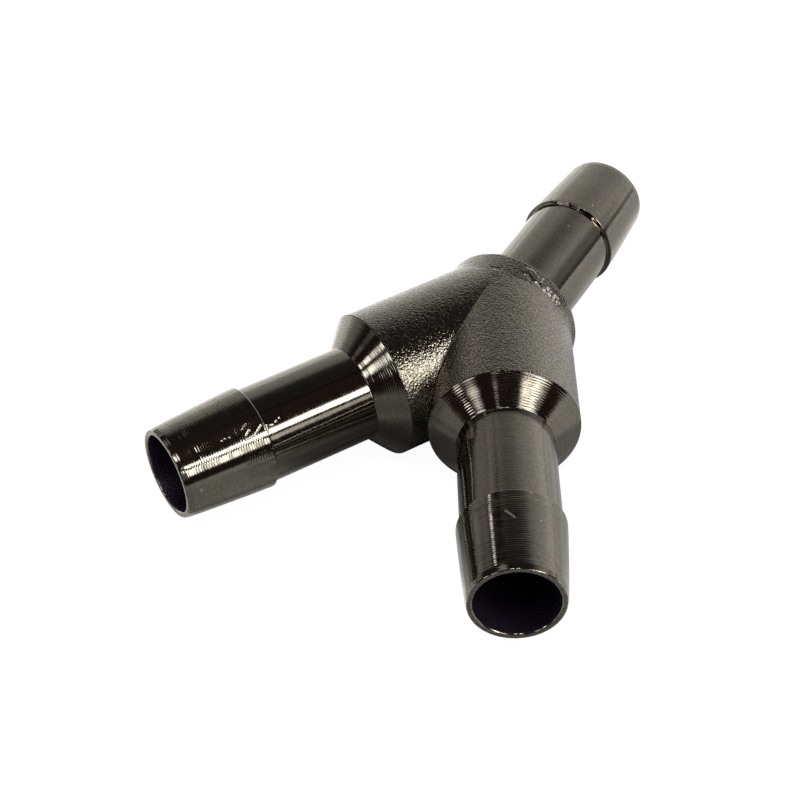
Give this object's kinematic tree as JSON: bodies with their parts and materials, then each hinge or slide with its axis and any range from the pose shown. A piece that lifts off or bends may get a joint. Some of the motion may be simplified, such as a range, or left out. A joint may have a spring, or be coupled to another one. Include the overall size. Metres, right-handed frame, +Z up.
{
  "type": "barbed hose wye connector",
  "caption": "Y-shaped metal hose connector: a round-armed body with a barbed hose tail on each leg, splitting one flow line into two at a narrow angle.",
  "frame": {"origin": "the point where the three flow axes cross", "axes": "+Y along the trunk leg and out of its mouth, the two branch legs 29.15 degrees either side of -Y (left at -X, right at +X), +Z up and square to the plane of the legs"},
  "size_m": [0.0468, 0.0642, 0.0154],
  "materials": {
    "blasted_body": "grit-blasted brass under dark nickel plate, satin",
    "turned_tail": "turned brass under dark nickel plate, bright"
  },
  "bodies": {
    "root": {"wye_body": "blasted_body", "trunk_hose_tail": "turned_tail", "left_hose_tail": "turned_tail", "right_hose_tail": "turned_tail"}
  },
  "joints": []
}
